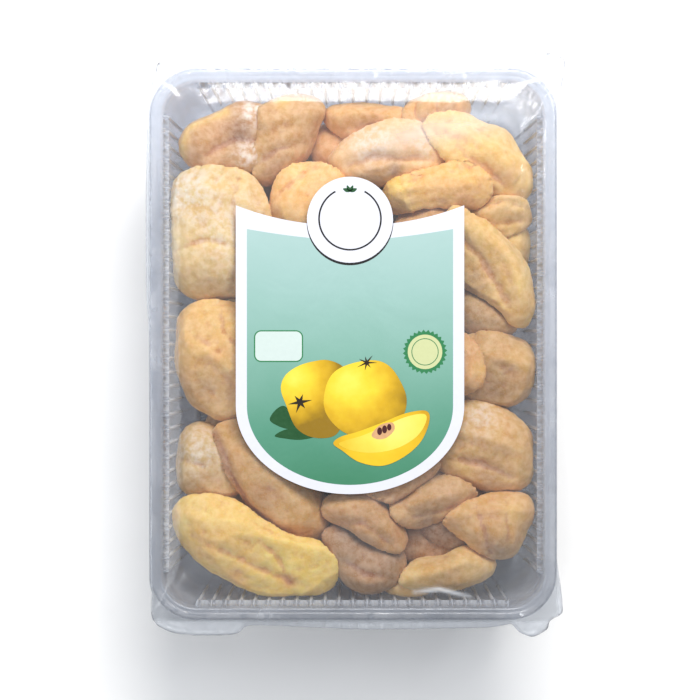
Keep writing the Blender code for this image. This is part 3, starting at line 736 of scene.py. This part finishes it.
def make_tray():
    plan = tray_plan()
    count = len(plan)
    rings = []

    def wall(height):
        return RIM - TAPER * (FLANGE_TOP - height) / (FLANGE_TOP - WELL_FLOOR)

    def corner_at(height):
        return WELL_CORNER - 2.0 * (FLANGE_TOP - height) / FLANGE_TOP

    foot = wall(WELL_FLOOR)
    for share in (0.05, 0.3, 0.6, 0.85, 0.93):
        rings.append(tray_ring(plan, foot * share, corner_at(0) * share, WELL_FLOOR))
    for step in range(7):
        turn = math.pi / 2 * step / 6
        inset = 2.6 * (1 - math.sin(turn))
        height = WELL_FLOOR + 2.6 * (1 - math.cos(turn))
        corner = corner_at(height) - inset * 0.6
        rings.append(tray_ring(plan, wall(height) - inset, corner, height, 1 - step / 6))
    for step in range(1, 15):
        height = 3.7 + (ARCH_FOOT - 3.7) * step / 15
        rings.append(tray_ring(plan, wall(height), corner_at(height), height, 0.0))
    for step in range(9):
        share = math.sin(math.pi / 2 * step / 8)
        height = ARCH_FOOT + ARCH_RISE * share
        rings.append(tray_ring(plan, wall(height), corner_at(height), height, share))
    ledge = (
        (-0.4, 43.6), (-0.3, 43.65), (-0.1, 43.8), (0.0, 44.1), (0.05, 45.0), (0.15, 45.5), (0.45, 45.85),
        (0.9, 45.95), (1.4, 45.95), (1.6, 46.05), (1.75, 46.35), (2.0, 46.5), (2.9, 46.5), (3.3, 46.4),
        (3.5, 46.1), (3.6, 45.5), (3.6, 43.7),
    )
    for out, height in ledge:
        rings.append(tray_ring(plan, RIM + out, WELL_CORNER + out, height))
    verts = [p for ring in rings for p in ring]
    faces = ring_faces(len(rings), count)
    faces.append(tuple(reversed(range(count))))
    mesh = mesh_of("fluted_tray", verts, faces)
    tints_and_shade = (srgb("E4E5E8"), srgb("F2F4F8"))
    look = clear_plastic("clear_tray", tints_and_shade, 0.14, (0.80, 0.82, 0.86), 0.26, 0.5)
    # The edges of the flutes and of their round tops catch the light: painted highlights, mixed in as milky
    # white.
    across = np.tile([abs(row[3]) if row[4] is None else 0.0 for row in plan], len(rings))
    height = np.array(verts)[:, 2]
    inside = (height > 20) & (height < 43.8) & (across > 0)
    arch = ARCH_FOOT + ARCH_RISE * np.sqrt(1 - np.minimum(across, 1) ** 2)
    shine = np.maximum(bell(1 - across, 0.10), bell(height - arch, 0.3)) * inside
    layer = mesh.attributes.new("haze_and_glints", "FLOAT", "POINT")
    layer.data.foreach_set("value", shine.astype(np.float32))
    tray = add_piece("fluted_tray", mesh, look, "clear_tray", "tray")
    thickened(tray, 0.4, -1)


# ---------------------------------------------------------------- film

FILM_LINE = (
    (66.5, 0), (66.5, 40), (66.5, 77), (68.2, 84.8), (68.7, 93.3), (58.3, 95.0), (48.6, 92.3),
    (29.1, 92.6), (10, 92.2), (-9.7, 92.1), (-38.8, 91.2), (-58, 91.5), (-63.3, 91.9),
    (-64.6, 88.2), (-66, 82.9), (-67, 72.2), (-67.5, 57.6), (-67.5, 18.8), (-66.5, 0), (-66.3, -20),
    (-66.3, -58.9), (-65.6, -78.3), (-65.6, -89), (-61.2, -93.2), (-53.4, -94.9), (-38.8, -94.6),
    (-34.5, -92.0), (-24.3, -91.9), (0, -93.0), (19.4, -92.9), (43.7, -92.4), (51.8, -91.3),
    (53.4, -93.4), (58.3, -95.4), (63.1, -93.2), (64.3, -90.2), (67.9, -88), (68.3, -84.2),
    (66.4, -68.6), (66.5, -58.9), (66.5, -30),
)
FILM_TOP = 48.85
AROUND = 1000


def rounded(half, corner, angles):
    """Points of a rounded rectangle at angles round its middle, measured as on the film's flange."""
    flange = np.array([66.4, 89.9])
    stretch = half / flange
    out = []
    for angle in angles:
        d = np.array([math.cos(angle), math.sin(angle)]) * flange
        d = d / np.linalg.norm(d)
        low, high = 0.0, 200.0
        ray = d * stretch
        for _ in range(34):
            mid = (low + high) / 2
            p = np.abs(ray * mid)
            over = np.maximum(p - (half - corner), 0)
            outside = (over @ over) > corner * corner if (over > 0).all() else (p > half).any()
            low, high = (low, mid) if outside else (mid, high)
        out.append(ray * low)
    return np.array(out)


def film_outline(angles):
    """The film's outer line at the same angles, by a smooth curve through its points."""
    flange = np.array([66.4, 89.9])
    points = np.array(FILM_LINE)
    dense = []
    for i in range(len(points)):
        a, b, c, d = (points[(i + k - 1) % len(points)] for k in range(4))
        for t in np.linspace(0, 1, 14, endpoint=False):
            dense.append(spline_point(a, b, c, d, t))
    dense = np.array(dense)
    polar = np.unwrap(np.arctan2(dense[:, 1] / flange[1], dense[:, 0] / flange[0]))
    order = np.argsort(polar % (2 * math.pi))
    polar = polar[order] % (2 * math.pi)
    radius = np.linalg.norm(dense[order], axis=1)
    reach = np.interp(angles % (2 * math.pi), polar, radius, period=2 * math.pi)
    ways = np.stack([np.cos(angles) * flange[0], np.sin(angles) * flange[1]], axis=1)
    ways /= np.linalg.norm(ways, axis=1)[:, None]
    return ways * reach[:, None]


def film_wrinkles(points, top):
    """How far the film stands out of its smooth shape: folds at the corners, crinkles at the end seams."""
    out = np.zeros(len(points))
    for sx, sy in ((1, 1), (-1, 1), (-1, -1), (1, -1)):
        local = (points[:, :2] - (sx * 65, sy * 88.5)) * (-sx, -sy)
        reach = np.linalg.norm(local, axis=1)
        angle = np.arctan2(local[:, 1], local[:, 0])
        fold = np.sin(angle * 9 + sx * 1.3 + reach * 0.12)
        fold = fold + 0.6 * np.sin(angle * 17 + sy * 2.1 - reach * 0.2)
        out += 0.42 * np.exp(-reach / 11) * fold
    for i, (x, y, z) in enumerate(points):
        wave = 0.16 * noise.noise(Vector((x * 0.05, y * 0.05, 3.1)))
        near_end = math.exp(-max(0.0, 90 - abs(y)) / 3.5)
        near_side = math.exp(-max(0.0, 66.5 - abs(x)) / 3.0)
        crinkle = noise.fractal(Vector((x * 0.32, y * 0.12, 7.7)), 0.7, 2.0, 3)
        pucker = noise.fractal(Vector((x * 0.12, y * 0.22, 1.7)), 0.7, 2.0, 3)
        out[i] += wave + 0.5 * near_end * crinkle + 0.28 * near_side * pucker
    if top:
        gap = np.maximum(np.abs(points[:, 0]) - 38, np.abs(points[:, 1]) - 50)
        out *= np.clip(gap / 8, 0, 1)
    return out


def film_material():
    tints_and_shade = (srgb("E2E4E7"), srgb("F3F5F9"))
    return clear_plastic("shrink_film", tints_and_shade, 0.13, (0.86, 0.89, 0.94), 0.06, 0.6)


# Painted reflections and glints of the film, mixed in as milky white: a line, its width and its strength.
FILM_GLINTS = (
    ([(2, 64), (24, 69), (52, 74)], 4.5, 0.45),
    ([(36, 70), (54, 77)], 3.0, 0.4),
    ([(30, 88.5), (44, 90.5)], 1.8, 0.8),
    ([(22, 89), (30, 92)], 1.2, 0.6),
    ([(20, -80.5), (28, -79.5), (38, -82)], 0.7, 1.0),
    ([(45, 81), (56, 79)], 1.4, 0.5),
    ([(-64, 80), (-56, 90)], 1.8, 0.5),
    ([(-66, 86), (-60, 92)], 1.5, 0.5),
)


def make_film():
    angles = np.linspace(0, 2 * math.pi, AROUND, endpoint=False)
    # More points round the corners, where the folds are.
    angles = angles - 0.10 * np.sin(4 * angles)
    plateau = np.array([54.0, 77.0])
    rings = []

    def ring(plan, height):
        rings.append(np.column_stack([plan, np.broadcast_to(height, len(plan))]))

    level = rounded(plateau, 10, angles)
    for share in np.linspace(0.04, 1, 26):
        ring(level * share, FILM_TOP)
    for share in np.linspace(0.08, 1, 12):
        half = plateau + (np.array([63.0, 86.5]) - plateau) * share
        fall = share * share * (3 - 2 * share)
        ring(rounded(half, 10 + 2 * share, angles), FILM_TOP - 1.95 * fall)
    edge = rounded(np.array([66.3, 89.8]), 14, angles)
    near = rounded(np.array([63.0, 86.5]), 12, angles)
    for share in np.linspace(0.25, 1, 4):
        ring(near + (edge - near) * share, FILM_TOP - 1.95 - 0.1 * share)
    line = film_outline(angles)
    for share in np.linspace(0.15, 1, 7):
        ring(edge + (line - edge) * share, FILM_TOP - 2.05 - 1.6 * share)
    tops = len(rings)
    for share in np.linspace(0.85, 0, 6):
        ring(edge + (line - edge) * share, 43.0 + 1.6 * share)
    foot = rounded(np.array([54.9, 78.4]), 10, angles)
    for share in np.linspace(0.03, 1, 30):
        bow = 1.2 * math.sin(share * math.pi)
        inward = edge / np.linalg.norm(edge, axis=1)[:, None] * bow
        ring(edge + (foot - edge) * share - inward, 43.0 - 42.85 * share)
    for share in (0.985, 0.9, 0.6, 0.3, 0.05):
        ring(foot * share, 0.1)
    count = len(angles)
    flat = np.vstack(rings)
    ends = tops * count
    lift = np.zeros(len(flat))
    lift[:ends] = film_wrinkles(flat[:ends], True)
    sides = film_wrinkles(flat[ends:], False)
    sides *= np.clip(flat[ends:, 2] / 40, 0, 1) ** 2
    lift[ends:] = sides
    flat[:ends, 2] += lift[:ends]
    out = flat[ends:, :2] / np.maximum(np.linalg.norm(flat[ends:, :2], axis=1), 1)[:, None]
    flat[ends:, :2] -= out * np.abs(lift[ends:, None]) * 1.2
    flat[:ends, 2] = np.minimum(flat[:ends, 2], 49.15)
    faces = ring_faces(len(rings), count)
    faces.append(tuple(reversed(range(count))))
    faces.append(tuple(range(len(flat) - count, len(flat))))
    mesh = mesh_of("shrink_film", flat, faces)
    # Painted reflections and glints along the lines, and milky film on the skirt.
    haze_and_glints = np.zeros(len(flat))
    for line_points, width, strength in FILM_GLINTS:
        gap, along = line_distance(flat, line_points)
        fade = np.sin(np.clip(along, 0.08, 0.92) * math.pi) ** 0.5
        haze_and_glints = np.maximum(haze_and_glints, strength * bell(gap, width) * fade)
    skirt = np.clip(np.maximum(np.abs(flat[:, 0]) - 66.2, np.abs(flat[:, 1]) - 89.9) * 1.5, 0, 1)
    haze_and_glints = np.maximum(haze_and_glints, 0.45 * skirt)
    haze_and_glints[ends:] *= 0.5
    layer = mesh.attributes.new("haze_and_glints", "FLOAT", "POINT")
    layer.data.foreach_set("value", haze_and_glints.astype(np.float32))
    add_piece("shrink_film", mesh, film_material(), "clear_film", "film_wrap")


# ---------------------------------------------------------------- label

LABEL_TOP = 49.5
AXIS = -1.0

# The outlines of the printed fruit.
LOW_LEAF = (
    (-25.4, -29.7), (-21.5, -27.6), (-16, -28.0), (-12, -29.8), (-17, -31.0), (-22, -30.6),
)
HIGH_LEAF = (
    (-27.0, -24.3), (-24.5, -20.8), (-21.5, -20.5), (-17, -27), (-20.5, -27.6), (-24.5, -26.4),
)
LEFT_FRUIT = (
    (-13, -5.6), (-8, -5.2), (-3, -7.6), (-1, -13), (-3, -24), (-6, -29.6), (-13, -30.2),
    (-18.5, -27), (-21.6, -20), (-23.4, -14.5), (-22.0, -10.2), (-18, -7.2),
)
WEDGE = (
    (-6.4, -32.2), (-4, -30), (2, -28.2), (10, -25.2), (17, -22.4), (23.6, -21.6), (24.7, -25),
    (22, -31.5), (16.5, -36.5), (9.5, -39.4), (2, -38.2), (-3.4, -34.6),
)
WEDGE_FACE = (
    (-4.6, -32.4), (-2.5, -31.2), (3, -29.6), (10, -26.6), (17, -23.6), (22.9, -22.6),
    (23.6, -25.2), (20.5, -30), (14, -33.8), (6, -35.2), (-1, -34.3),
)
CORE = (
    (6.0, -29.4), (8.6, -26.3), (12.6, -25.4), (13.4, -27.6), (11, -30.2), (8, -30.8),
)


def art_mesh(name, outline, level):
    """A flat printed shape from its outline. level is its layer above the label's face."""
    bm = bmesh.new()
    height = (LABEL_TOP + 0.025 * level) * MM
    corners = [bm.verts.new((x * MM, y * MM, height)) for x, y in outline]
    face = bm.faces.new(corners)
    bm.normal_update()
    if face.normal.z < 0:
        face.normal_flip()
    bmesh.ops.triangulate(bm, faces=bm.faces, ngon_method="EAR_CLIP")
    bm.normal_update()
    for f in bm.faces:
        if f.normal.z < 0:
            f.normal_flip()
    mesh = bpy.data.meshes.new(name)
    bm.to_mesh(mesh)
    bm.free()
    return mesh


def curve_through(points, steps=10, closed=True):
    """A smooth closed outline through its points."""
    points = [Vector(p) for p in points]
    out = []
    count = len(points)
    for i in range(count if closed else count - 1):
        a = points[(i - 1) % count] if closed else points[max(i - 1, 0)]
        b = points[i]
        c = points[(i + 1) % count]
        d = points[(i + 2) % count] if closed else points[min(i + 2, count - 1)]
        for k in range(steps):
            p = spline_point(a, b, c, d, k / steps)
            out.append((p.x, p.y))
    if not closed:
        out.append(tuple(points[-1]))
    return out


def arc(centre, radius_x, radius_y, start, end, steps):
    out = []
    for k in range(steps + 1):
        angle = math.radians(start + (end - start) * k / steps)
        out.append((centre[0] + radius_x * math.cos(angle), centre[1] + radius_y * math.sin(angle)))
    return out


def band(centre, inner, outer, start, end, steps=60, lift=0.0):
    """A ring, or part of one. lift makes it thicker in the middle of its run."""
    outside = []
    for k in range(steps + 1):
        share = k / steps
        angle = math.radians(start + (end - start) * share)
        radius = outer + lift * math.sin(math.pi * share)
        outside.append((centre[0] + radius * math.cos(angle), centre[1] + radius * math.sin(angle)))
    return outside + arc(centre, inner, inner, end, start, steps)


def shield(half, shoulder, hollow, side_end, foot, power):
    """The label's shape: a round foot, straight sides and two hollow shoulders that meet at its axis."""
    out = arc((AXIS, side_end), half, side_end - foot, 180, 360, 60)
    right = []
    for k in range(25):
        share = k / 24
        right.append((AXIS + half * (1 - share), hollow + (shoulder - hollow) * (1 - share) ** power))
    left = [(2 * AXIS - x, y) for x, y in reversed(right[:-1])]
    return out + right + left


def print_material(name, colour, roughness=0.38, grain=0.05):
    """Printed, coated paper of one ink. It's faintly uneven, and a little wavy."""
    look, tree = material(name)
    coords = object_coords(tree)
    fine = noise_of(tree, coords, 900, 3)
    wave = noise_of(tree, coords, 38, 3, 0.5, 0.6)
    low = tuple(v * (1 - grain) for v in colour) if isinstance(colour, tuple) else None
    base = mixed(tree, fine, low, colour) if low else colour(tree, coords, fine)
    bump_height = math_of(tree, "ADD", wave, math_of(tree, "MULTIPLY", fine, 0.01))
    bump = node(tree, "ShaderNodeBump", {"Height": bump_height, "Strength": 0.25, "Distance": 0.002})
    inputs = {
        "Base Color": base,
        "Roughness": ramp(tree, fine, [(0.3, roughness - 0.05), (0.7, roughness + 0.07)]),
        "Normal": bump.outputs[0],
        "Specular IOR Level": 0.4,
    }
    finish_material(tree, node(tree, "ShaderNodeBsdfPrincipled", inputs).outputs[0])
    return look


def stops_of(codes):
    """Colour ramp stops from places and sRGB codes."""
    return [(place, srgb(code)) for place, code in codes]


def panel_colour(tree, coords, fine):
    """Light teal at the top of the label to deep green at its foot."""
    along = node(tree, "ShaderNodeSeparateXYZ", {0: coords}).outputs[1]
    share = node(
        tree, "ShaderNodeMapRange", {"Value": along, "From Min": -0.047, "From Max": 0.038}
    ).outputs[0]
    cloud = noise_of(tree, coords, 45, 2)
    shift = math_of(tree, "MULTIPLY", math_of(tree, "SUBTRACT", cloud, 0.5), 0.12)
    share = math_of(tree, "ADD", share, shift)
    codes = ((0.0, "3F7F60"), (0.22, "55917A"), (0.5, "7BA99B"), (0.75, "94B8B2"), (1.0, "A3C0BE"))
    return ramp(tree, share, stops_of(codes))


def fruit_colour(light, radius, codes):
    """Paint that is lightest at one place and darkens away from it, with soft blotches."""

    def build(tree, coords, fine):
        spot = (light[0] * MM, light[1] * MM, LABEL_TOP * MM)
        away = node(tree, "ShaderNodeVectorMath", {0: coords, 1: spot}, operation="DISTANCE")
        share = math_of(tree, "DIVIDE", away.outputs["Value"], radius * MM)
        blotch = noise_of(tree, coords, 160, 3, 0.5)
        shift = math_of(tree, "MULTIPLY", math_of(tree, "SUBTRACT", blotch, 0.5), 0.5)
        return ramp(tree, math_of(tree, "ADD", share, shift), stops_of(codes))

    return build


def lumpy(centre, radius, lumps, seed, squash=1.0, steps=90):
    """A round outline with soft lumps."""
    out = []
    for k in range(steps):
        angle = 2 * math.pi * k / steps
        wobble = noise.noise(Vector((math.cos(angle) * 1.1, math.sin(angle) * 1.1, seed)))
        reach = radius * (1 + lumps * wobble)
        out.append((centre[0] + reach * math.cos(angle), centre[1] + reach * squash * math.sin(angle)))
    return out


def star(centre, inner, outer, points, turn, seed=0.0):
    """A toothed or starred outline. seed makes its points uneven."""
    out = []
    for k in range(points * 2):
        angle = math.radians(turn) + math.pi * k / points
        reach = inner if k % 2 else outer * (1 + (0.25 * math.sin(k * 2.3 + seed) if seed else 0))
        out.append((centre[0] + reach * math.cos(angle), centre[1] + reach * math.sin(angle)))
    return out


def rounded_box(low, high, corner):
    out = []
    for cx, cy, start in (
        (high[0] - corner, high[1] - corner, 0),
        (low[0] + corner, high[1] - corner, 90),
        (low[0] + corner, low[1] + corner, 180),
        (high[0] - corner, low[1] + corner, 270),
    ):
        out += arc((cx, cy), corner, corner, start, start + 90, 8)
    return out


def make_label():
    white = print_material("label_white", srgb("DADCE6"))
    black = print_material("label_black", srgb("1B1A1C"))
    green = print_material("label_green", srgb("2E7A4C"))
    mint = print_material("label_mint", srgb("C9D8D4"))
    cream = print_material("label_cream", srgb("C6CC9A"))
    leaf = print_material("label_leaf", srgb("23562F"), grain=0.3)
    pip = print_material("label_pip", srgb("4A1C1E"), grain=0.3)
    calyx = print_material("label_calyx", srgb("2E2418"), grain=0.4)
    panel = print_material("label_panel", panel_colour)
    body = ((0.0, "F3DE58"), (0.3, "E8CC35"), (0.62, "D2A820"), (0.9, "A98414"), (1.0, "8E6E16"))
    skin = ((0.0, "E9CB2F"), (0.6, "DDB420"), (1.0, "BF8B15"))
    cut = ((0.0, "F1E277"), (0.5, "EAD552"), (1.0, "DDBB33"))
    left_fruit = print_material("label_left_fruit", fruit_colour((-19, -11), 15.5, body))
    right_fruit = print_material("label_right_fruit", fruit_colour((-1, -12), 21, body))
    wedge_side = print_material("label_wedge_side", fruit_colour((8, -30), 19, skin))
    wedge_face = print_material("label_wedge_face", fruit_colour((14, -27), 18, cut))
    core = print_material("label_core", srgb("D9A87A"), grain=0.25)
    pieces = [
        ("label_paper", shield(37.0, 45.0, 38.4, -20.0, -48.6, 2.2), 0, white),
        ("label_panel", shield(33.4, 37.3, 33.6, -20.0, -45.6, 1.6), 1, panel),
        ("label_badge_shade", band((AXIS, 40.0), 13.0, 14.0, 178, 362, 60, 0.45), 2, black),
        ("label_badge", arc((AXIS, 40.3), 13.95, 13.95, 0, 354, 59), 3, white),
        ("label_badge_ring", band((AXIS, 40.6), 9.75, 10.3, 118, 422, 80), 4, black),
        ("label_box_edge", rounded_box((-32.1, -5.8), (-16.2, 4.5), 2.3), 2, green),
        ("label_box", rounded_box((-31.7, -5.4), (-16.6, 4.1), 1.9), 3, mint),
        ("label_seal", star((23.3, -2.5), 6.4, 7.2, 28, 4), 2, green),
        ("label_seal_disc", arc((23.3, -2.5), 5.6, 5.6, 0, 354, 59), 3, cream),
        ("label_seal_ring", band((23.3, -2.5), 4.15, 4.4, 0, 359.5, 60), 4, green),
        ("label_leaf_low", curve_through(LOW_LEAF), 2, leaf),
        ("label_leaf_high", curve_through(HIGH_LEAF), 3, leaf),
        ("label_fruit_left", curve_through(LEFT_FRUIT), 4, left_fruit),
        ("label_fruit_right", lumpy((3.6, -17.8), 13.4, 0.10, 4.2, 0.93), 5, right_fruit),
        ("label_calyx_left", star((-17.2, -18.8), 1.0, 3.3, 6, 10, 1.0), 6, calyx),
        ("label_calyx_right", star((4.4, -6.0), 0.7, 2.8, 7, 0, 2.0), 6, calyx),
        ("label_wedge", curve_through(WEDGE), 7, wedge_side),
        ("label_wedge_face", curve_through(WEDGE_FACE), 8, wedge_face),
        ("label_core", curve_through(CORE), 9, core),
        ("label_pip_a", arc((8.6, -28.2), 0.8, 1.25, 0, 345, 23), 10, pip),
        ("label_pip_b", arc((10.2, -27.6), 0.8, 1.3, 0, 345, 23), 10, pip),
        ("label_pip_c", arc((11.7, -26.9), 0.7, 1.1, 0, 345, 23), 10, pip),
    ]
    # A leaf sprig stands where the badge's ring is open.
    for turn, reach in ((150, 2.6), (110, 2.9), (70, 2.9), (30, 2.6)):
        a = math.radians(turn)
        root = Vector((AXIS, 49.4))
        way = Vector((math.cos(a), math.sin(a) * 0.75))
        side = Vector((-way.y, way.x)) * 0.65
        tip = root + way * reach
        mid = root + way * reach * 0.5
        outline = curve_through([root, mid + side, tip, mid - side], 8)
        pieces.append((f"label_sprig_{turn}", outline, 5, leaf))
    first = None
    for name, outline, level, look in pieces:
        mesh = art_mesh(name, outline, level)
        if first is None:
            first = add_piece(name, mesh, look, "label_paper", "label")
            thickened(first, 0.2, -1)
        else:
            add_piece(name, mesh, look, "label_paper")


make_studio()
make_slices()
make_tray()
make_film()
make_label()
scene.cycles.transparent_max_bounces = 32
